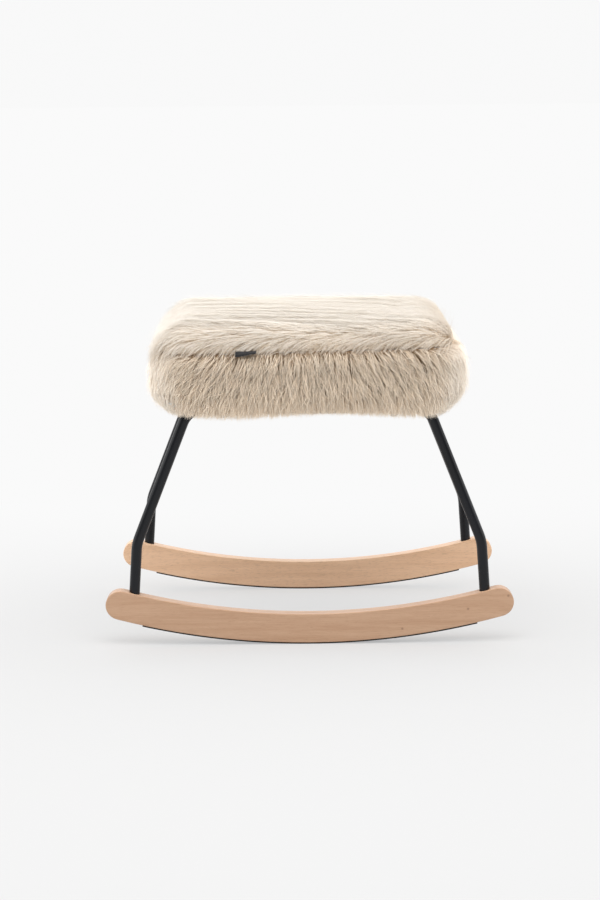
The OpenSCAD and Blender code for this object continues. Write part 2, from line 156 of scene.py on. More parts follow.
slow = streaks(grain, place, (5, 130, 130), 3.0)
fine = streaks(grain, place, (28, 900, 900), 4.0)
rays = streaks(grain, place, (110, 1900, 1900), 1.0)
tone = maths(grain, "MULTIPLY_ADD", fine, 0.38, maths(grain, "MULTIPLY", slow, 0.62))
body = blended(grain, mapped(grain, tone, 0.36, 0.64), at["Dark"], at["Light"])
fleck = maths(grain, "MULTIPLY", mapped(grain, rays, 0.6, 0.68), at["Fleck share"])
grown = {"Color": blended(grain, fleck, body, at["Fleck"]),
    "Height": maths(grain, "MULTIPLY_ADD", fleck, -0.5, fine),
    "Roughness": mapped(grain, tone, 0.3, 0.7, 0.46, 0.34)}
for socket, value in grown.items():
    grain.links.new(value, grain_out.inputs[socket])

# Small knots in the outer face of the front board, as (X, Z) places, and how far they spread
knots = [(0.2817, 0.0678), (0.2247, 0.0492), (0.1312, 0.0213)]
knot_core, knot_edge = 0.0006, 0.0024
# The upper edge is painted paler than the sides, as a painted highlight for the light from above
painted_top_light_gain = 1.22


def oiled_beech(name, light, dark):
    """Beech of one board with the small knots. Its upward faces are painted paler as light from
    above, and the rear board's colours are painted paler than the front's as light.
    """
    finish, tree, shader = new_finish(name, specular=0.4, coat=0.3, coat_roughness=0.2)
    spot = object_spot(tree)
    wood = use_effect(tree, grain, {"Vector": spot, "Light": light, "Dark": dark,
        "Fleck": linear(164, 124, 94), "Fleck share": 0.35})
    colour = wood.outputs["Color"]
    front_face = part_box("rocker_front")[0].y
    for x, z in knots:
        away = add_node(tree, "VectorMath", {0: spot, 1: (x, front_face, z)}, operation="DISTANCE")
        near = mapped(tree, away.outputs["Value"], knot_core, knot_edge, 0.6, 0.0)
        colour = blended(tree, near, colour, linear(120, 84, 60))
    # Faces that look upwards are painted paler: a painted highlight for the light from above
    normal = add_node(tree, "TexCoord").outputs["Normal"]
    upward = add_node(tree, "SeparateXYZ", {"Vector": normal}).outputs["Z"]
    painted_top_light = mapped(tree, upward, 0.6, 0.9, 1.0, painted_top_light_gain)
    colour = add_node(tree, "VectorMath", {0: colour, "Scale": painted_top_light}, operation="SCALE")
    dress(tree, shader, colour.outputs["Vector"], wood.outputs["Roughness"],
        wood.outputs["Height"], 0.00012)
    return finish


# The rear board's beech is set much paler than the front's: painted light, standing in for light
# its face lacks in the pad's shade
beech = {"front": oiled_beech("front_oiled_beech", linear(202, 165, 135), linear(186, 146, 115)),
    "rear": oiled_beech("rear_oiled_beech_painted_light", linear(251, 210, 174), linear(237, 193, 155))}


def merged_copy(name, node, crease=math.radians(32)):
    """A CAD node's own shape as one closed mesh, shaded smooth up to the crease angle, with its
    large faces kept flat beside their rounded edges."""
    form = bmesh.new()
    form.from_mesh(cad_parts[node].data)
    bmesh.ops.remove_doubles(form, verts=form.verts, dist=2e-6)
    form.normal_update()
    smoothed(form)
    for edge in form.edges:
        edge.smooth = len(edge.link_faces) == 2 and edge.calc_face_angle() < crease
    piece = as_piece(name, form)
    shading = piece.modifiers.new("flat_faces", "WEIGHTED_NORMAL")
    shading.keep_sharp = True
    return piece


def as_piece(name, form):
    """Turns a bmesh into an object of the scene."""
    mesh = bpy.data.meshes.new(name)
    form.to_mesh(mesh)
    form.free()
    piece = bpy.data.objects.new(name, mesh)
    bpy.context.scene.collection.objects.link(piece)
    return piece


def smoothed(form):
    """Shades all faces of a bmesh smooth."""
    for face in form.faces:
        face.smooth = True


def fit_piece(piece, finish, node):
    """Gives a piece its material and its place in the stool."""
    piece.data.materials.clear()
    piece.data.materials.append(finish)
    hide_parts(node)
    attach(piece, "root")


for side in ("front", "rear"):
    board = merged_copy(f"{side}_rocker_board", f"rocker_{side}")
    fit_piece(board, beech[side], f"rocker_{side}")


# Treads: a strip of black rubber glued along the curved sole of each rocker. It is cut from
# flat sheet with its corners broken, and it is matt and slightly grained.
sole_radius = 1.058
tread_width, tread_thick, tread_break = 0.018, 0.002, 0.0004
tread_steps = 72


def noise(tree, spot, scale, detail):
    """Cloudy pattern from 0 to 1."""
    made = add_node(tree, "TexNoise", {"Vector": spot, "Scale": scale, "Detail": detail})
    return made.outputs["Fac"]


def ramp(tree, value, stops):
    """Colour ramp over a list of (place, colour)."""
    made = add_node(tree, "ValToRGB", {"Fac": value})
    elements = made.color_ramp.elements
    while len(elements) < len(stops):
        elements.new(0.5)
    for element, (place, colour) in zip(elements, stops):
        element.position = place
        element.color = colour
    return made.outputs["Color"]


rubber, tree, shader = new_finish("tread_rubber", specular=0.3)
spot = object_spot(tree)
dust, pebble = noise(tree, spot, 60.0, 5.0), noise(tree, spot, 2600.0, 2.0)
tint = ramp(tree, dust, [(0.3, linear(24, 24, 26)), (0.75, linear(44, 43, 43))])
dress(tree, shader, tint, 0.72, pebble, 0.00015)

for side in ("front", "rear"):
    low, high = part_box(f"tread_{side}")
    middle = (low + high) / 2
    half_angle = math.asin((high.x - low.x) / 2 / sole_radius)
    form = bmesh.new()
    bmesh.ops.create_grid(form, x_segments=1, y_segments=1, size=0.5,
        matrix=Matrix.Rotation(math.pi / 2, 4, "Y"))
    bmesh.ops.scale(form, vec=(1, tread_width, tread_thick), verts=form.verts)
    bmesh.ops.translate(form, vec=(0, middle.y, tread_thick / 2), verts=form.verts)
    centre = Vector((0, middle.y, sole_radius))
    bmesh.ops.rotate(form, cent=centre, verts=form.verts,
        matrix=Matrix.Rotation(half_angle, 3, "Y"))
    bmesh.ops.delete(form, geom=form.faces[:], context="FACES_ONLY")
    bmesh.ops.spin(form, geom=form.edges[:], cent=centre, axis=(0, 1, 0),
        angle=-2 * half_angle, steps=tread_steps)
    bmesh.ops.holes_fill(form, edges=[e for e in form.edges if e.is_boundary], sides=4)
    bmesh.ops.recalc_face_normals(form, faces=form.faces)
    corners = [e for e in form.edges if e.calc_face_angle(0) > 1]
    bmesh.ops.bevel(form, geom=corners, offset=tread_break, segments=2, profile=0.5,
        affect="EDGES", material=-1)
    fit_piece(as_piece(f"{side}_tread_strip", form), rubber, f"tread_{side}")


# Leg hoops and cross tubes: one bent steel tube makes two legs and the rail between them, and
# two thinner tubes join the rails. They are welded, then powder coated in satin black.
coat, tree, shader = new_finish("black_powder_coat", specular=0.35)
spot = object_spot(tree)
peel, rub = noise(tree, spot, 1100.0, 1.0), noise(tree, spot, 14.0, 4.0)
tint = ramp(tree, rub, [(0.3, linear(4, 6, 12)), (0.75, linear(10, 13, 21))])
dress(tree, shader, tint, mapped(tree, rub, 0, 1, 0.22, 0.36), peel, 0.00004)

for node in ("leg_hoop_front", "leg_hoop_rear", "cross_tube_left", "cross_tube_right"):
    fit_piece(merged_copy(f"{node}_coated", node), coat, node)


# Screws: zinc plated plugs, bolts and washers in the rocker's counterbores, and the bolts,
# saddle washers and tee nuts that hold the hoops to the seat board.
zinc, tree, shader = new_finish("zinc_plate", metallic=1.0)
bloom = noise(tree, object_spot(tree), 240.0, 5.0)
tint = ramp(tree, bloom, [(0.3, linear(176, 178, 182)), (0.7, linear(205, 206, 206))])
dress(tree, shader, tint, mapped(tree, bloom, 0, 1, 0.24, 0.5), bloom, 0.00002)

for node in ("foot_plugs", "foot_bolts", "foot_washers", "seat_bolts", "saddle_washers",
        "tee_nuts", "staples"):
    fit_piece(merged_copy(f"{node}_plated", node), zinc, node)


# Seat board: birch plywood with a sanded veneer on both faces and its plies showing along the
# sawn edge. The hoops are bolted to it and the cover is stapled to it.
ply_thick = 0.0013
ply, tree, shader = new_finish("birch_plywood", specular=0.35)
spot = object_spot(tree)
wood = use_effect(tree, grain, {"Vector": spot, "Light": linear(226, 202, 160),
    "Dark": linear(204, 172, 124), "Fleck": linear(160, 122, 84), "Fleck share": 0.2}).outputs
height = add_node(tree, "SeparateXYZ", {"Vector": spot}).outputs["Z"]
in_pair = maths(tree, "FLOORED_MODULO", height, 2 * ply_thick)
dark_ply = maths(tree, "GREATER_THAN", in_pair, ply_thick)
normal = add_node(tree, "NewGeometry").outputs["Normal"]
facing = add_node(tree, "SeparateXYZ", {"Vector": normal})
edge = maths(tree, "LESS_THAN", maths(tree, "ABSOLUTE", facing.outputs["Z"]), 0.5)
tint = blended(tree, maths(tree, "MULTIPLY", dark_ply, edge), wood["Color"], linear(158, 120, 80))
dress(tree, shader, tint, wood["Roughness"], wood["Height"], 0.0001)
fit_piece(merged_copy("plywood_board", "seat_board"), ply, "seat_board")


# Dust cover: black spun cloth stretched over the underside, with its corners cut round. It is
# held by a row of staples near its edge and dips a little between them.
cloth_thick, cloth_dip, cloth_round = 0.0006, 0.0008, 0.0394
cloth_steps, corner_cuts = 96, 8


def sliced(form, place, away, drop=False):
    """Cuts a bmesh along a plane, and drops what lies in front of the plane if it is to go."""
    bmesh.ops.bisect_plane(form, geom=form.verts[:] + form.edges[:] + form.faces[:],
        plane_co=place, plane_no=away, clear_outer=drop)


def thickened(piece, thick, offset):
    """Gives a surface its thickness, to both sides at an offset of 0 and inwards at -1."""
    wall = piece.modifiers.new("thickness", "SOLIDIFY")
    wall.thickness, wall.offset = thick, offset


low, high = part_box("dust_cover")
cloth_x, cloth_y = high.x, high.y
form = bmesh.new()
bmesh.ops.create_grid(form, x_segments=cloth_steps, y_segments=cloth_steps, size=1)
bmesh.ops.scale(form, vec=(cloth_x, cloth_y, 1), verts=form.verts)
for sx in (-1, 1):
    for sy in (-1, 1):
        middle = Vector((sx * (cloth_x - cloth_round), sy * (cloth_y - cloth_round), 0))
        for k in range(corner_cuts):
            turn = math.pi / 2 * (k + 0.5) / corner_cuts
            away = Vector((sx * math.cos(turn), sy * math.sin(turn), 0))
            sliced(form, middle + away * cloth_round, away, drop=True)
for vert in form.verts:
    inset = 1 - max(abs(vert.co.x) / cloth_x, abs(vert.co.y) / cloth_y)
    ripple = 0.6 + 0.4 * math.sin(vert.co.x * 90) * math.sin(vert.co.y * 70 + vert.co.x * 25)
    dip = cloth_dip * min(1, inset * 12) * ripple
    vert.co.z = high.z - cloth_thick / 2 - dip
smoothed(form)
cloth_area = sum(face.calc_area() for face in form.faces)
spun_cloth = as_piece("spun_dust_cloth", form)
thickened(spun_cloth, cloth_thick, 0)

felt, tree, shader = new_finish("spun_black_cloth", specular=0.25, sheen=0.15)
spot = object_spot(tree)
dimples = add_node(tree, "TexVoronoi", {"Vector": spot, "Scale": 700.0}).outputs["Distance"]
tint = ramp(tree, noise(tree, spot, 900.0, 6.0), [(0.3, linear(20, 20, 22)),
    (0.7, linear(48, 47, 47))])
dress(tree, shader, tint, 0.85, dimples, 0.0003)
fit_piece(spun_cloth, felt, "dust_cover")


# Pad: a block of foam on the board, a sheet of wadding over it, and a cover of long fur. The
# cover is sewn from a top panel and a side band, drawn tight and stapled under the board.
core_x, core_y = 0.154, 0.143
shoulder_core, shoulder_in, shoulder_up = 0.006, 0.061, 0.068
wide_z, low_z, lip_in, lip_down = 0.394, 0.372, 0.021, 0.041
lip_least, lip_wide = 0.002, 0.0085
crown, backing_in = 0.003, 0.009
shoulder_fuller = 2.0
swell_cap, settle_steps, shape_slack = 0.008, 20, 0.001
board_low, board_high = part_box("seat_board")


def plan_of(points):
    """How far points stand out from the pad's core seen from above, and in which direction."""
    over = np.maximum(np.abs(points[:, :2]) - (core_x, core_y), 0)
    out = np.linalg.norm(over, axis=1)
    way = np.sign(points[:, :2]) * over / np.maximum(out, 1e-6)[:, None]
    return out, way


def shoulder_power(way):
    """The shoulder is an ellipse at the pad's ends, and fuller than that at its front and rear."""
    return 2 + shoulder_fuller * way[:, 1] ** 2


def pad_normals(points):
    """Directions that point straight out of the pad's rounded side and top."""
    out, way = plan_of(points)
    z = points[:, 2]
    power = shoulder_power(way)
    side = np.maximum(out - shoulder_core, 0) / shoulder_in
    rise = np.maximum(z - wide_z, 0) / shoulder_up
    across = side ** (power - 1) / shoulder_in
    along = rise ** (power - 1) / shoulder_up
    under = z < low_z
    across = np.where(z < wide_z, 1 / shoulder_in, across)
    along = np.where(z < wide_z, 0, along)
    low_out = np.maximum(out - (shoulder_core + shoulder_in - lip_in), lip_least)
    across = np.where(under, low_out / lip_in ** 2, across)
    along = np.where(under, (z - low_z) / lip_down ** 2, along)
    found = np.column_stack([way * across[:, None], along])
    return found / np.linalg.norm(found, axis=1)[:, None]


def drawn_to_shape(points, inset, slack):
    """Points of a soft layer, let out or in by no more than the slack from the pad's own shape."""
    out, way = plan_of(points)
    z = points[:, 2]
    wide, tall = shoulder_in - inset, shoulder_up - inset
    side = np.maximum(out - shoulder_core, 0)
    power = shoulder_power(way)
    rise = np.maximum(z - wide_z, 0)
    reach = ((side / wide) ** power + (rise / tall) ** power) ** (1 / power)
    share = np.maximum(np.abs(points[:, 0]) / core_x, np.abs(points[:, 1]) / core_y)
    level = wide_z + tall + crown * np.clip(1 - share ** 2, 0, 1)
    lip_core = shoulder_core + wide - lip_wide
    lip = np.maximum(out - lip_core, 0)
    dip = np.maximum(low_z - z, 0)
    lip_reach = np.hypot(lip / lip_wide, dip / (lip_down - inset))

    shaped = points.copy()
    upper = z >= wide_z
    crest = upper & (side <= 0)
    curve = upper & ~crest
    waist = (z < wide_z) & (z >= low_z)
    hem = (z < low_z) & (lip > 0)
    new_out = np.where(curve, shoulder_core + side / np.maximum(reach, 1e-3), out)
    new_out = np.where(waist, shoulder_core + wide, new_out)
    new_out = np.where(hem, lip_core + lip / np.maximum(lip_reach, 1e-3), new_out)
    shaped[:, :2] += way * (new_out - out)[:, None]
    shaped[:, 2] = np.where(crest, level, z)
    shaped[:, 2] = np.where(curve, wide_z + (z - wide_z) / np.maximum(reach, 1e-3), shaped[:, 2])
    shaped[:, 2] = np.where(hem, low_z - dip / np.maximum(lip_reach, 1e-3), shaped[:, 2])
    off = points - shaped
    far = np.linalg.norm(off, axis=1)
    keep = np.minimum(1, slack / np.maximum(far, 1e-9))
    return shaped + off * keep[:, None]


def read_points(mesh):
    """Places of a mesh's points."""
    points = np.empty(len(mesh.vertices) * 3)
    mesh.vertices.foreach_get("co", points)
    return points.reshape(-1, 3)


# The cushion starts as a rounded block a little smaller than the pad, on an even mesh
form = bmesh.new()
bmesh.ops.create_cube(form, size=1)
start_in = backing_in + 0.004
start_low, start_high = 0.345, wide_z + shoulder_up - start_in
start_x = core_x + shoulder_core + shoulder_in - start_in
start_y = core_y + shoulder_core + shoulder_in - start_in
bmesh.ops.scale(form, verts=form.verts, vec=(2 * start_x, 2 * start_y, start_high - start_low))
bmesh.ops.translate(form, verts=form.verts, vec=(0, 0, (start_high + start_low) / 2))
uprights = [e for e in form.edges if abs(e.verts[0].co.z - e.verts[1].co.z) > 0.01]
bmesh.ops.bevel(form, geom=uprights, offset=shoulder_core + shoulder_in - start_in, segments=10,
    profile=0.5, affect="EDGES", material=-1)
rim = [e for e in form.edges if min(v.co.z for v in e.verts) > start_high - 1e-4]
bmesh.ops.bevel(form, geom=rim, offset=shoulder_in - start_in, segments=10, profile=0.5,
    affect="EDGES", material=-1)
cushion = as_piece("cushion_form", form)

remesh = cushion.modifiers.new("even_mesh", "REMESH")
remesh.mode, remesh.voxel_size = "VOXEL", 0.006


def applied(piece):
    """Bakes a piece's modifiers into its mesh."""
    graph = bpy.context.evaluated_depsgraph_get()
    mesh = bpy.data.meshes.new_from_object(piece.evaluated_get(graph))
    piece.modifiers.clear()
    piece.data = mesh
    return mesh


# Pressure swells the cushion where the cloth isn't held under the board
mesh = applied(cushion)
before = read_points(mesh)
held = cushion.vertex_groups.new(name="held")
held.add([int(i) for i in np.flatnonzero(before[:, 2] < board_low.z)], 1.0, "REPLACE")
cloth = cushion.modifiers.new("cover_cloth", "CLOTH")
cloth.settings.quality = 5
cloth.settings.mass = 0.3
cloth.settings.tension_stiffness = 15
cloth.settings.bending_stiffness = 0.5
cloth.settings.use_pressure = True
cloth.settings.uniform_pressure_force = 4
cloth.settings.effector_weights.gravity = 0
cloth.settings.vertex_group_mass = "held"
cloth.collision_settings.use_collision = False
for step in range(1, settle_steps + 1):
    bpy.context.scene.frame_set(step)
mesh = applied(cushion)
bpy.context.scene.frame_set(1)
swell = read_points(mesh) - before
far = np.linalg.norm(swell, axis=1)
after = before + swell * np.minimum(1, swell_cap / np.maximum(far, 1e-9))[:, None]
after = drawn_to_shape(after, backing_in, shape_slack)
mesh.vertices.foreach_set("co", after.ravel())
mesh.update()


def cut_from_cushion(place, away, inset=0.0):
    """Copy of the pad's form, set inwards, with what lies in front of the cutting plane gone."""
    form = bmesh.new()
    form.from_mesh(cushion.data)
    form.normal_update()
    if inset:
        inwards = [(vert, vert.normal * inset) for vert in form.verts]
        for vert, move in inwards:
            vert.co -= move
    sliced(form, place, away, drop=True)
    smoothed(form)
    return form


# Foam block, under everything
foam, tree, shader = new_finish("cut_foam", specular=0.2)
cells = add_node(tree, "TexVoronoi", {"Vector": object_spot(tree), "Scale": 900.0})
cells = cells.outputs["Distance"]
tint = ramp(tree, cells, [(0.1, linear(206, 188, 138)), (0.6, linear(236, 221, 176))])
dress(tree, shader, tint, 0.9, cells, 0.0004)
foam_inset, wad_inset, wad_thick = 0.0137, 0.0065, 0.006
foam_lift, wad_lift, down = 0.0002, 0.001, Vector((0, 0, -1))
form = cut_from_cushion(Vector((0, 0, board_high.z + foam_lift)), down, foam_inset)
bmesh.ops.holes_fill(form, edges=[e for e in form.edges if e.is_boundary], sides=0)
bmesh.ops.recalc_face_normals(form, faces=form.faces)
foam_block = as_piece("foam_block", form)
fit_piece(foam_block, foam, "foam_core")

# Wadding, a white sheet drawn over the foam and down past the board's edge
batting, tree, shader = new_finish("polyester_wadding", specular=0.15, sheen=0.3)
fluff = noise(tree, object_spot(tree), 260.0, 6.0)
tint = ramp(tree, fluff, [(0.3, linear(214, 214, 210)), (0.7, linear(246, 246, 243))])
dress(tree, shader, tint, 0.95, fluff, 0.0015)
form = cut_from_cushion(Vector((0, 0, board_low.z + wad_lift)), down, wad_inset)
wadding_sheet = as_piece("wadding_sheet", form)
thickened(wadding_sheet, wad_thick, -1)
fit_piece(wadding_sheet, batting, "wadding")

# Backing cloth of the fur, on a finer mesh. The seam between its top panel and its band rises a
# little to the right and sinks into the pad. The band's hem is drawn up against the board.
smooth = cushion.modifiers.new("finer_mesh", "SUBSURF")
smooth.levels = smooth.render_levels = 1
mesh = applied(cushion)
seam_level, seam_rise = 0.42, 0.02
seam_sink, seam_half = 0.0018, 0.004
hem_under, hem_top, hem_lap = 0.3459, 0.0012, 0.0145
hem_rise, inner_rise = 0.003, 0.004
points = read_points(mesh)
normals = pad_normals(points)
from_seam = points[:, 2] - seam_level - seam_rise * points[:, 0]
pucker = 1 + 0.25 * np.sin(points[:, 0] * 140) * np.cos(points[:, 1] * 150)
points -= normals * (seam_sink * pucker * np.exp(-(from_seam / seam_half) ** 2))[:, None]
out = plan_of(points)[0]
lip_start, lip_end = 0.0425, 0.0475
climb = np.clip((lip_end - out) / (lip_end - lip_start), 0, 1)
below = points[:, 2] < board_low.z + hem_rise
points[:, 2] = np.where(below & (out < lip_end),
    points[:, 2] + (hem_under + hem_top - points[:, 2]) * climb, points[:, 2])
mesh.vertices.foreach_set("co", points.ravel())
mesh.update()

# The cloth is cut at the seam into the panel and the band
seam_plane = Vector((-seam_rise, 0, 1)).normalized()
seam_point = Vector((0, 0, seam_level))
seam_gap = Vector((0, 0, 0.0003))
backing_thick = 0.004
# A painted shadow along the seam, in the wool where the cloth sinks into it
painted_seam_shadow, painted_seam_shadow_half = linear(184, 154, 124), 0.0022


def underwool(name, dark, light):
    """Short dense wool at the foot of the pile, with a painted shadow along the seam."""
    finish, tree, shader = new_finish(name, specular=0.1)
    spot = object_spot(tree)
    fuzz = noise(tree, spot, 420.0, 6.0)
    above = add_node(tree, "VectorMath", {0: spot, 1: (-seam_rise, 0, 1)}, operation="DOT_PRODUCT")
    gap = maths(tree, "ABSOLUTE", maths(tree, "SUBTRACT", above.outputs["Value"], seam_level))
    seam_shadow_share = mapped(tree, gap, 0, painted_seam_shadow_half, 1.0, 0.0, interpolation_type="SMOOTHSTEP")
    tint = blended(tree, seam_shadow_share, ramp(tree, fuzz, [(0.3, dark), (0.7, light)]), painted_seam_shadow)
    dress(tree, shader, tint, 0.95, fuzz, 0.002)
    return finish


# As with the hair, the top's wool is painted paler as light from above, and the band's browner,
# partly real colour and partly painted shade
top_wool = underwool("top_underwool", linear(232, 213, 188), linear(244, 230, 210))
band_wool = underwool("band_underwool", linear(172, 142, 112), linear(212, 186, 156))

top_cover = as_piece("top_panel_backing", cut_from_cushion(seam_point + seam_gap, -seam_plane))
form = cut_from_cushion(seam_point - seam_gap, seam_plane)
hem_x, hem_y = core_x + hem_lap, core_y + hem_lap
for axis in (Vector((1, 0, 0)), Vector((0, 1, 0))):
    for sign in (-1, 1):
        sliced(form, axis * sign * (hem_x if axis.x else hem_y), axis)
inner = [f for f in form.faces if f.calc_center_median().z < board_low.z + inner_rise
    and abs(f.calc_center_median().x) < hem_x and abs(f.calc_center_median().y) < hem_y]
bmesh.ops.delete(form, geom=inner, context="FACES")
band_cover = as_piece("band_backing", form)
for cover, node, wool in ((top_cover, "fur_top", top_wool), (band_cover, "fur_band", band_wool)):
    thickened(cover, backing_thick, -1)
    fit_piece(cover, wool, node)
bpy.data.objects.remove(cushion)


# Fur: long soft pile, cream at the tips and brown at the roots, that grows from the backing. On
# top the nap lies to the left. On the band it hangs in locks that fan out and cross the legs.
turn_reach = 0.022
free_below, free_over = 0.352, 0.012
full_turn = 6.28


def scattered_roots(cover, count, seed):
    """Evenly likely places on a cover's outside, in a fixed random order."""
    mesh = cover.data
    mesh.calc_loop_triangles()
    corners = np.empty(len(mesh.loop_triangles) * 3, dtype=np.int32)
    mesh.loop_triangles.foreach_get("vertices", corners)
    a, b, c = read_points(mesh)[corners.reshape(-1, 3)].transpose(1, 0, 2)
    areas = np.linalg.norm(np.cross(b - a, c - a), axis=1)
    lot = np.random.default_rng(seed)
    chosen = lot.choice(len(areas), count, p=areas / areas.sum())
    u, v = np.sqrt(lot.random(count)), lot.random(count)
    a, b, c = a[chosen], b[chosen], c[chosen]
    return a * (1 - u)[:, None] + b * (u * (1 - v))[:, None] + c * (u * v)[:, None]


def unit(ways):
    """Directions drawn to a length of 1."""
    return ways / np.maximum(np.linalg.norm(ways, axis=1), 1e-9)[:, None]


def on_surface(ways, normals):
    """Directions laid flat on the surface."""
    return unit(ways - normals * np.sum(ways * normals, axis=1)[:, None])


def above_seam(points):
    """How far points lie above the seam, which rises to the right."""
    return points[:, 2] - seam_level - seam_rise * points[:, 0]


def top_nap(points, normals):
    """The top's nap runs to the left, and turns down over the front, rear and left shoulders,
    most of all near the seam."""
    steep = np.clip(1 - normals[:, 2], 0, 1)
    near = np.clip(1 - above_seam(points) / turn_reach, 0, 1)
    way = np.tile((-1.0, 0, 0), (len(points), 1))
    ends = np.clip(np.abs(normals[:, 1]) * 1.5, 0, 1)
    way[:, 2] -= (0.35 + 0.95 * near) * steep * ends
    left = np.clip(-normals[:, 0] * 1.4, 0, 1)
    way[:, 2] -= 0.9 * left * steep
    return on_surface(way, normals)


# How far the band's locks lean from hanging straight, by place along the front
lean_x = [-0.2, -0.16, -0.10, -0.03, 0.03, 0.10, 0.16, 0.2]
lean_deg = [-34, -42, -20, -4, 8, 28, 30, 12]
lean_z, lean_more = [0.33, 0.38, 0.42], [0.5, 1.0, 1.6]


def band_nap(points, normals):
    """The band's nap hangs down, and leans to one side and the other along the pad."""
    level = np.column_stack([-normals[:, 1], normals[:, 0], np.zeros(len(points))])
    level = unit(level)
    front = np.interp(points[:, 0], lean_x, lean_deg)
    rear = np.interp(-points[:, 0], lean_x, lean_deg)
    ends = 22 * np.sin(points[:, 1] * 26 + np.sign(points[:, 0]))
    facing = normals[:, 1] ** 2
    lean = np.where(normals[:, 1] < 0, front, rear) * facing + ends * (1 - facing)
    lean = np.radians(lean * np.interp(points[:, 2], lean_z, lean_more))
    way = level * np.sin(lean)[:, None]
    way[:, 2] = -np.cos(lean)
    return on_surface(way, normals)


def grown_paths(roots, nap, length, turn, lift, stand, wave, phase, hang):
    """Paths of hairs from their roots, one short step at a time, that follow the nap. Below the
    pad they hang free of its form."""
    steps = len(lift)
    paths = [roots]
    at = roots.copy()
    for k, rise in enumerate(lift):
        normals = pad_normals(at)
        loose = np.clip((free_below - at[:, 2]) / free_over, 0, 1)[:, None]
        normals = unit(normals * (1 - loose * (0, 0, 0.9)))
        flat = nap(at, normals)
        side = np.cross(normals, flat)
        bend = turn + wave * np.sin(phase + 2.6 * k)
        way = flat * np.cos(bend)[:, None] + side * np.sin(bend)[:, None]
        rise = np.minimum(rise + stand * (1 - k / steps) + np.zeros(len(at)), 1.5)[:, None]
        way = way * np.cos(rise) + normals * np.sin(rise)
        way[:, 2] -= hang * k / steps
        at = at + unit(way) * (length / steps)[:, None]
        paths.append(at)
    return np.array(paths)


def clumped(paths, guides, pull):
    """Draws the tips of the hairs towards the nearest lock's middle. Returns that lock and how
    far off each root is."""
    tree = kdtree.KDTree(guides.shape[1])
    for number, place in enumerate(guides[0]):
        tree.insert(place, number)
    tree.balance()
    found = [tree.find(root)[1:] for root in paths[0]]
    nearest = np.array([number for number, _ in found])
    off = np.array([far for _, far in found])
    steps = len(paths) - 1
    for k in range(1, steps + 1):
        share = pull * (k / steps) ** 0.8
        paths[k] += (guides[k][nearest] - paths[k]) * share[:, None]
    return nearest, off


def hair_template(steps):
    """One hair: a thin three sided cone, cut across into short lengths."""
    form = bmesh.new()
    bmesh.ops.create_cone(form, cap_ends=True, cap_tris=False, segments=3, radius1=1, radius2=0,
        depth=1)
    bmesh.ops.remove_doubles(form, verts=form.verts, dist=1e-5)
    bmesh.ops.translate(form, verts=form.verts, vec=(0, 0, 0.5))
    for k in range(1, steps):
        sliced(form, (0, 0, k / steps), (0, 0, 1))
    form.verts.index_update()
    places = np.array([vert.co for vert in form.verts])
    faces = [[vert.index for vert in face.verts] for face in form.faces]
    form.free()
    return places, faces


def hair_piece(name, paths, widths, looks, flatness, node):
    """One piece of fur. Each hair is the template, laid along its path. Its looks are its tone, how
    far its root already has the tip's colour, and how far it takes the brown run, which is partly
    real brown and partly painted shade."""
    steps, count = len(paths) - 1, paths.shape[1]
    places, faces = hair_template(steps)
    rung = np.rint(places[:, 2] * steps).astype(int)
    ring = places[:, :2] / np.maximum(1 - places[:, 2], 1e-6)[:, None]
    ring[rung == steps] = 0
    body = 1 - 0.75 * (rung / steps) ** 1.5
    ways = np.gradient(paths, axis=0)
    normals = pad_normals(paths[0])
    points = np.empty((count, len(places), 3))
    for v, k in enumerate(rung):
        ahead = unit(ways[k])
        side = unit(np.cross(ahead, normals))
        out = np.cross(side, ahead)
        reach = (widths * body[v])[:, None]
        points[:, v] = paths[k] + (side * ring[v, 0] + out * ring[v, 1] * flatness) * reach
    mesh = bpy.data.meshes.new(name)
    mesh.vertices.add(count * len(places))
    mesh.vertices.foreach_set("co", points.ravel())
    loops = np.concatenate([np.array(face) for face in faces])
    sizes = np.array([len(face) for face in faces])
    shift = np.arange(count)[:, None] * len(places)
    mesh.loops.add(count * len(loops))
    mesh.loops.foreach_set("vertex_index", (loops[None, :] + shift).ravel().astype(np.int32))
    starts = np.concatenate([[0], np.cumsum(np.tile(sizes, count))[:-1]])
    mesh.polygons.add(count * len(faces))
    mesh.polygons.foreach_set("loop_start", starts.astype(np.int32))
    mesh.polygons.foreach_set("use_smooth", np.zeros(count * len(faces), dtype=bool))
    mesh.update(calc_edges=True)
    tones, pale, brown_and_shade = looks
    reached = pale[:, None] + (1 - pale)[:, None] * places[None, :, 2]
    values = {"along": reached.ravel(), "tone": np.repeat(tones, len(places)),
        "brown_and_shade": np.repeat(brown_and_shade, len(places))}
    for title, value in values.items():
        kept = mesh.attributes.new(title, "FLOAT", "POINT")
        kept.data.foreach_set("value", value.astype(np.float32))
    piece = bpy.data.objects.new(name, mesh)
    bpy.context.scene.collection.objects.link(piece)
    fit_piece(piece, long_fur, node)


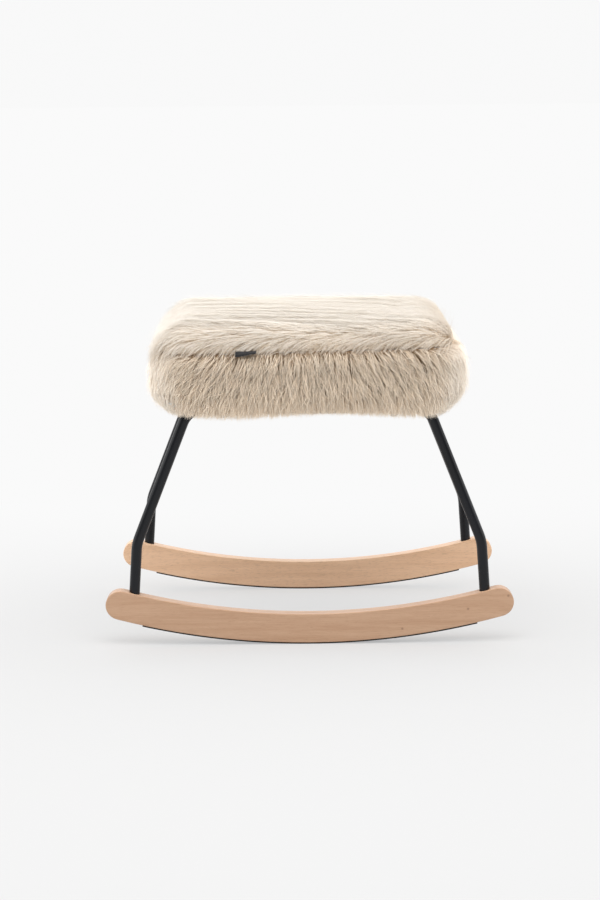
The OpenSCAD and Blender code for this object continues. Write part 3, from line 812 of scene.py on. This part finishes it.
# Two runs of colour from root to tip for the one fur: cream for the combed top, painted paler as
# light from above, and brown for the band, partly its real brown roots and partly painted shade
long_fur, tree, shader = new_finish("long_fur", specular=0.05, sheen=0.1)
along, tone, brown_and_shade = (add_node(tree, "Attribute", attribute_name=title).outputs["Fac"]
    for title in ("along", "tone", "brown_and_shade"))
cream_hair_painted_lit = ramp(tree, along, [(0.0, linear(231, 215, 194)), (0.45, linear(244, 238, 228)),
    (1.0, linear(249, 244, 237))])
brown_hair_and_painted_shade = ramp(tree, along, [(0.0, linear(126, 96, 70)), (0.45, linear(226, 206, 181)),
    (1.0, linear(237, 225, 208))])
hair = blended(tree, brown_and_shade, cream_hair_painted_lit, brown_hair_and_painted_shade)
swing, spread = mapped(tree, tone, 0, 1, -1.0, 1.0), mapped(tree, brown_and_shade, 0, 1, 0.16, 0.27)
shade = maths(tree, "MULTIPLY_ADD", swing, spread, 1.0)
tint = add_node(tree, "VectorMath", {0: hair, "Scale": shade}, operation="SCALE")
dress(tree, shader, tint.outputs["Vector"], 0.6)

# Pile of the top panel
lot = np.random.default_rng(11)
top_count, top_guides, top_flatness = 40000, 5000, 0.2
top_length, top_hang = 0.038, 0.05
top_lift = [math.radians(a) for a in (32, 11, 0)]
seam_cover, seam_least = 0.005, 0.011
fuzz_reach, seam_reach = 0.02, 0.028
ripples = [(lot.uniform(25, 60), lot.uniform(90, 330), lot.random() * full_turn) for _ in range(9)]


def ridges(points):
    """Long low ridges along the nap, as combed pile lies."""
    waves = [np.sin(points[:, 0] * kx + points[:, 1] * ky + start) for kx, ky, start in ripples]
    return np.sum(waves, axis=0) / math.sqrt(len(ripples) / 2)


def seam_room(points, length):
    """Hairs over the front and rear seams are only long enough to reach them."""
    facing = np.clip(np.abs(pad_normals(points)[:, 1]) * 4 - 2.8, 0, 1)
    room = np.maximum(above_seam(points) * 1.5 + seam_cover, seam_least)
    room = room * lot.uniform(0.7, 1.4, len(points))
    return np.where(facing > 0, np.minimum(length, room / np.maximum(facing, 0.2)), length)


def end_fuzz(points):
    """On the left, where the nap runs off the pad, the hairs stand away from it, and so do the
    ones by the seam at the right end."""
    facing = pad_normals(points)[:, 0]
    left = np.clip(-facing * 1.5 - 0.2, 0, 1)
    right = np.clip(facing * 1.5 - 0.2, 0, 1)
    right = right * np.clip(1 - above_seam(points) / fuzz_reach, 0, 1)
    return left * lot.uniform(0, 1, len(points)) ** 2 + 0.45 * right


# The order of the random draws sets every hair, so it stays as it is
roots = scattered_roots(top_cover, top_count, 21)
middles = scattered_roots(top_cover, top_guides, 22)
lengths = seam_room(middles, lot.normal(top_length, 0.002, top_guides))
turns = lot.normal(0, 0.07, top_guides)
guides = grown_paths(middles, top_nap, lengths, turns, top_lift, 0.04 * ridges(middles), 0.04,
    lot.random(top_guides) * full_turn, top_hang)
stray = lot.random(top_count) < 0.06
lengths = seam_room(roots, lot.normal(top_length, 0.004, top_count))
turns = lot.normal(0, np.where(stray, 0.35, 0.05))
stand = 0.04 * ridges(roots) + end_fuzz(roots) + np.where(stray, 0.3, 0)
paths = grown_paths(roots, top_nap, lengths, turns, top_lift, stand, 0.05,
    lot.random(top_count) * full_turn, top_hang)
low = np.clip(1 - above_seam(roots) / seam_reach, 0, 1)
clumped(paths, guides, np.where(stray, 0.0, 0.3 + 0.45 * low))
widths = lot.uniform(0.00022, 0.0004, top_count) * np.where(stray, 0.6, 1)
facing = pad_normals(roots)
# The front shoulder is painted paler as light its forward-facing slope lacks, and the troughs
# between the ridges a little darker as painted shade
painted_shoulder_light = np.clip(-2 * facing[:, 1], 0, 1) * (1 - low)
tones = 0.36 + 0.34 * painted_shoulder_light + 0.06 * ridges(roots) + lot.normal(0, 0.1, top_count)
tones = np.clip(tones, 0, 0.75)
# Top hairs near the seam take the brown run as painted shade on the steep front of the shoulder,
# with some real brown at random over the top
brown_and_shade = np.maximum(low * lot.uniform(0.6, 1.0, top_count), lot.random(top_count) ** 3 * 0.5)
order = np.argsort(roots[:, 0])
for number, part in enumerate(np.array_split(order, 4), 1):
    hair_piece(f"top_pile_{number}", paths[:, part], widths[part],
        (tones[part], 0.2 * low[part], brown_and_shade[part]), top_flatness, "fur_top")

# Pile of the band, its fringe along the lower edge, and the locks and tufts that it hangs in
band_count, band_locks, band_tufts, band_flatness = 72000, 1000, 6500, 0.4
fringe_count, fringe_top = 42000, 0.351
band_hang = 0.35
band_lift = [math.radians(a) for a in (48, 18, 3)]
lip_from = 0.0415
stand_reach, pale_reach = 0.014, 0.012
fringe_end, fringe_swing, fringe_middle, fringe_turn, fringe_least = 0.3295, 0.003, 0.025, 24, 0.010
fine_below, painted_fringe_light_below, fringe_deep = 0.372, 0.375, 0.03
painted_lock_light_reach = 0.003
tuck_from, tuck, tuck_least = 0.366, 13.0, 0.35


def outer(points):
    """Band roots on its outside and its lower lip, not on the hem under the board."""
    return points[(plan_of(points)[0] > lip_from) | (points[:, 2] > low_z)]


def near_seam(points):
    """Hairs next to the seam stand up more and so cover it, but lie flatter at the pad's ends."""
    sideways = pad_normals(points)[:, 0] ** 2
    return (0.4 - 0.65 * sideways) * np.clip(1 + above_seam(points) / stand_reach, 0, 1)


def drop_room(points, length):
    """Hairs near the lower edge are only as long as the ragged fringe below it, which hangs
    lower towards both ends of the pad than in the middle."""
    ends = fringe_end + fringe_swing * np.cos((points[:, 0] - fringe_middle) * fringe_turn)
    ragged = lot.uniform(1.0, 1.4, len(points))
    return np.minimum(length, np.maximum((points[:, 2] - ends) * ragged, fringe_least))


def band_paths(roots, length, uneven, turn, stand, wave):
    """Paths of the band's hairs, or of the middles of its tufts or locks."""
    count = len(roots)
    lengths = drop_room(roots, lot.normal(length, uneven, count))
    turns = lot.normal(0, turn, count)
    return grown_paths(roots, band_nap, lengths, turns, band_lift, near_seam(roots) + stand, wave,
        lot.random(count) * full_turn, band_hang)


roots = outer(scattered_roots(band_cover, band_count, 31))
fringe = outer(scattered_roots(band_cover, fringe_count, 34))
roots = np.concatenate([roots, fringe[fringe[:, 2] < fringe_top]])
tufts = outer(scattered_roots(band_cover, band_tufts, 32))
locks = outer(scattered_roots(band_cover, band_locks, 33))
lock_paths = band_paths(locks, 0.034, 0.003, 0.2, 0, 0.1)
tuft_paths = band_paths(tufts, 0.034, 0.004, 0.18, 0, 0.2)
clumped(tuft_paths, lock_paths, np.full(len(tufts), 0.24))


def tucked(paths):
    """The fringe curls in under the pad towards its tips, most at the pad's ends."""
    for points in paths:
        way = plan_of(points)[1]
        drop = np.maximum(tuck_from - points[:, 2], 0)
        share = tuck_least + (1 - tuck_least) * way[:, 0] ** 2
        points[:, :2] -= way * (tuck * share * drop ** 2)[:, None]


def tuft_pull(points):
    """How far the hairs of a tuft are drawn together: less in the fringe, whose tips are fine."""
    low = np.clip((fine_below - points[:, 2]) / fringe_deep, 0, 1)
    return lot.uniform(0.5, 0.85, len(points)) * (1 - 0.55 * low)


count = len(roots)
stray = lot.random(count) < 0.13
paths = band_paths(roots, 0.033, 0.004, np.where(stray, 0.4, 0.1), np.where(stray, 0.3, 0), 0.14)
tuft, off = clumped(paths, tuft_paths, np.where(stray, 0.0, tuft_pull(roots)))
tucked(paths[1:])
widths = lot.uniform(0.0002, 0.00038, count) * np.where(stray, 1.3, 1)
# Each tuft is painted paler at its middle and darker towards its edges: the light and shade of a
# rounded lock
painted_lock_light = np.where(stray, 1.0, np.clip(1 - off / painted_lock_light_reach, 0, 1))
# The pad's ends are painted paler and less brown as light from the side lamps, the left end more
# than the right, and the lower fringe paler as light from the floor
sideways = np.clip(np.abs(pad_normals(roots)[:, 0]) * 1.5, 0, 1) ** 2
low = np.clip((painted_fringe_light_below - roots[:, 2]) / fringe_deep, 0, 1)
tones = 0.35 * lot.random(len(tufts))[tuft] + 0.3 * lot.random(count) + 0.4 * painted_lock_light
tones += np.where(roots[:, 0] < 0, 0.65, 0.35) * sideways + 0.5 * low
pale = 0.35 * sideways + 0.3 * low
pale += 0.35 * (1 - sideways) * np.clip(1 + above_seam(roots) / pale_reach, 0, 1)
pale = np.minimum(pale + np.where(stray, 0.4, 0), 0.8)
order = np.argsort(np.arctan2(roots[:, 1], roots[:, 0]))
for number, part in enumerate(np.array_split(order, 8), 1):
    hair_piece(f"band_pile_{number}", paths[:, part], widths[part],
        (tones[part], pale[part], 1 - 0.5 * sideways[part]), band_flatness, "fur_band")


# Tab: a short loop of black woven ribbon, folded in half and caught in the front seam. It is
# left bare, and its folded end lies over the band's fur.
tab_x, tab_lift, tab_wide, tab_thick, tab_taper = -0.086, 0.003, 0.029, 0.00045, 0.6
tab_z = seam_level + seam_rise * tab_x + tab_lift
tab_strips, free_from, free_run = 12, 0.2060, 0.007
tab_wave, tab_tilt = 0.0007, 0.0012
# The loop seen from the side, as (how far forwards, how far above the seam) from root to root
fold = [(0.1885, 0.0005), (0.2030, 0.0010), (0.2085, 0.0012), (0.2112, -0.0004), (0.2122, -0.0026),
    (0.2127, -0.0046), (0.2122, -0.0052), (0.2115, -0.0046), (0.2110, -0.0028), (0.2098, -0.0010),
    (0.2060, -0.0002), (0.2030, -0.0002), (0.1885, -0.0005)]
form = bmesh.new()
loop = [form.verts.new((tab_x - tab_wide / 2, -forward, tab_z + above)) for forward, above in fold]
run = [form.edges.new(pair) for pair in zip(loop, loop[1:])]
for _ in range(tab_strips):
    grown = bmesh.ops.extrude_edge_only(form, edges=run)["geom"]
    run = [item for item in grown if isinstance(item, bmesh.types.BMEdge)
        and abs(item.verts[0].co.x - item.verts[1].co.x) < 1e-7]
    moved = {vert for edge in run for vert in edge.verts}
    bmesh.ops.translate(form, verts=list(moved), vec=(tab_wide / tab_strips, 0, 0))
for vert in form.verts:
    free = max(0, -free_from - vert.co.y) / free_run
    across = (vert.co.x - tab_x) / tab_wide
    vert.co.z = tab_z + (vert.co.z - tab_z) * (1 - tab_taper * (across + 0.5) * min(free, 1))
    vert.co.z += (math.sin(across * 4.4) * tab_wave + across * tab_tilt) * free
smoothed(form)
bmesh.ops.recalc_face_normals(form, faces=form.faces)
tab = as_piece("bare_tab", form)
smooth = tab.modifiers.new("smooth", "SUBSURF")
smooth.levels = smooth.render_levels = 2
thickened(tab, tab_thick, 0)

weave, tree, shader = new_finish("woven_ribbon", specular=0.4, sheen=0.1)
spot = object_spot(tree)
ribs = add_node(tree, "TexWave", {"Vector": spot, "Scale": 420.0, "Distortion": 0.4},
    wave_type="BANDS", bands_direction="X")
tint = ramp(tree, noise(tree, spot, 2200.0, 3.0), [(0.3, linear(16, 16, 18)),
    (0.75, linear(46, 46, 50))])
dress(tree, shader, tint, 0.55, ribs.outputs["Fac"], 0.0001)
fit_piece(tab, weave, "blank_tab")


# Camera: the photograph's own view, from a little above and almost straight on. Its place and
# its direction come from the fit that also gave the stool's proportions.
image_tall, focal_px, sensor = 900, 2247.72, 36.0
eye = Vector((-0.02476, -3.2966, 0.79687))
pitch, yaw, roll = math.radians(9.432), math.radians(0.233), -0.00844
ahead = Vector((math.sin(yaw) * math.cos(pitch), math.cos(yaw) * math.cos(pitch), -math.sin(pitch)))
level = Vector((math.cos(yaw), -math.sin(yaw), 0))
upright = level.cross(ahead)
right = level * math.cos(roll) + upright * math.sin(roll)
up = upright * math.cos(roll) - level * math.sin(roll)
camera_data = bpy.data.cameras.new("camera")
camera_data.sensor_width = sensor
camera_data.lens = focal_px * sensor / image_tall
camera_data.clip_end = 200
camera = bpy.data.objects.new("camera", camera_data)
camera.matrix_world = Matrix.Translation(eye) @ Matrix((right, up, -ahead)).transposed().to_4x4()
bpy.context.scene.collection.objects.link(camera)
bpy.context.scene.camera = camera
bpy.context.scene.view_settings.view_transform = "Standard"


# Studio: a pale floor that runs to the horizon, a white background, and soft even light from
# all round, with a large panel above and two small ones at the sides, so the shadows are faint.
# Far from the stool the floor shows to the camera as part of the white background. Near it a share
# of what the camera sees is a painted glow, larger behind the stool, which lightens the stool's
# shadows as painted light.
floor_reach, fade_start, fade_end = 60, 1.6, 4.0
form = bmesh.new()
bmesh.ops.create_grid(form, x_segments=1, y_segments=1, size=floor_reach)
floor = as_piece("studio_floor", form)
paper, tree, shader = new_finish("studio_floor", specular=0.0)
dress(tree, shader, (0.625, 0.625, 0.625, 1), 1.0)
spot = object_spot(tree)
away = add_node(tree, "VectorMath", {0: spot}, operation="LENGTH").outputs["Value"]
far_off = mapped(tree, away, fade_start, fade_end, interpolation_type="SMOOTHSTEP")
# More of the camera's glow behind the stool: painted light in the stool's shadow there
behind = add_node(tree, "SeparateXYZ", {"Vector": spot}).outputs["Y"]
behind = mapped(tree, behind, -0.3, 0.9, 0.4, 1.0, interpolation_type="SMOOTHSTEP")


def bare_rays(tree):
    """1 for what the camera sees directly, in a reflection or through glass."""
    ray = add_node(tree, "LightPath").outputs
    seen = maths(tree, "MAXIMUM", ray["Is Camera Ray"], ray["Is Glossy Ray"])
    return maths(tree, "MAXIMUM", seen, ray["Is Transmission Ray"])


seen = maths(tree, "MULTIPLY", maths(tree, "MAXIMUM", far_off, behind), bare_rays(tree))
glow = add_node(tree, "Emission", {"Color": (0.955, 0.955, 0.955, 1), "Strength": 1.0})
pick = add_node(tree, "MixShader", {0: seen, 1: shader.outputs["BSDF"],
    2: glow.outputs["Emission"]})
tree.links.new(pick.outputs["Shader"], tree.nodes["Material Output"].inputs["Surface"])
floor.data.materials.append(paper)

world = bpy.data.worlds.new("studio_world")
bpy.context.scene.world = world
world.use_nodes = True
tree = world.node_tree
tree.nodes.clear()
# The light from all round is weaker from low in front and from straight above
way = add_node(tree, "TexCoord").outputs["Generated"]
way = add_node(tree, "SeparateXYZ", {"Vector": way}).outputs
around = mapped(tree, way["Z"], 0, 0.45, 1.03, 1.22)
above = mapped(tree, way["Z"], 0.45, 1, 1.0, 0.78)
front = mapped(tree, maths(tree, "ADD", way["Y"], way["Z"]), -1.0, 0.0, 0.34, 1.0)
glow = maths(tree, "MULTIPLY", maths(tree, "MULTIPLY", around, above), front)
fill = add_node(tree, "Background", {"Color": (1, 1, 1, 1), "Strength": glow})
# Behind the camera the room is dim, which shows only in gloss
room = mapped(tree, way["Y"], -0.9, 0.1, 0.12, 1.0)
gloss = add_node(tree, "LightPath").outputs["Is Glossy Ray"]
dim = add_node(tree, "Mix", {"Factor": gloss, "A": 1.0, "B": room},
    data_type="FLOAT").outputs["Result"]
backdrop = add_node(tree, "Background", {"Color": (0.945, 0.945, 0.945, 1), "Strength": dim})
pick = add_node(tree, "MixShader", {0: bare_rays(tree), 1: fill.outputs["Background"],
    2: backdrop.outputs["Background"]})
add_node(tree, "OutputWorld", {"Surface": pick.outputs["Shader"]})


def soft_panel(name, place, aim, width, height, power):
    """Rectangular studio lamp that faces a point."""
    data = bpy.data.lights.new(name, "AREA")
    data.shape, data.size, data.size_y, data.energy = "RECTANGLE", width, height, power
    lamp = bpy.data.objects.new(name, data)
    lamp.location = place
    lamp.rotation_euler = (Vector(aim) - Vector(place)).to_track_quat("-Z", "Y").to_euler()
    bpy.context.scene.collection.objects.link(lamp)


soft_panel("left_panel", (-2.4, -0.2, 1.1), (0, 0, 0.3), 1.2, 2.0, 7)
soft_panel("right_panel", (2.4, -0.2, 1.1), (0, 0, 0.3), 1.2, 2.0, 5)
soft_panel("top_panel", (0, -1.1, 2.4), (0, 0, 0.4), 2.4, 1.6, 25)
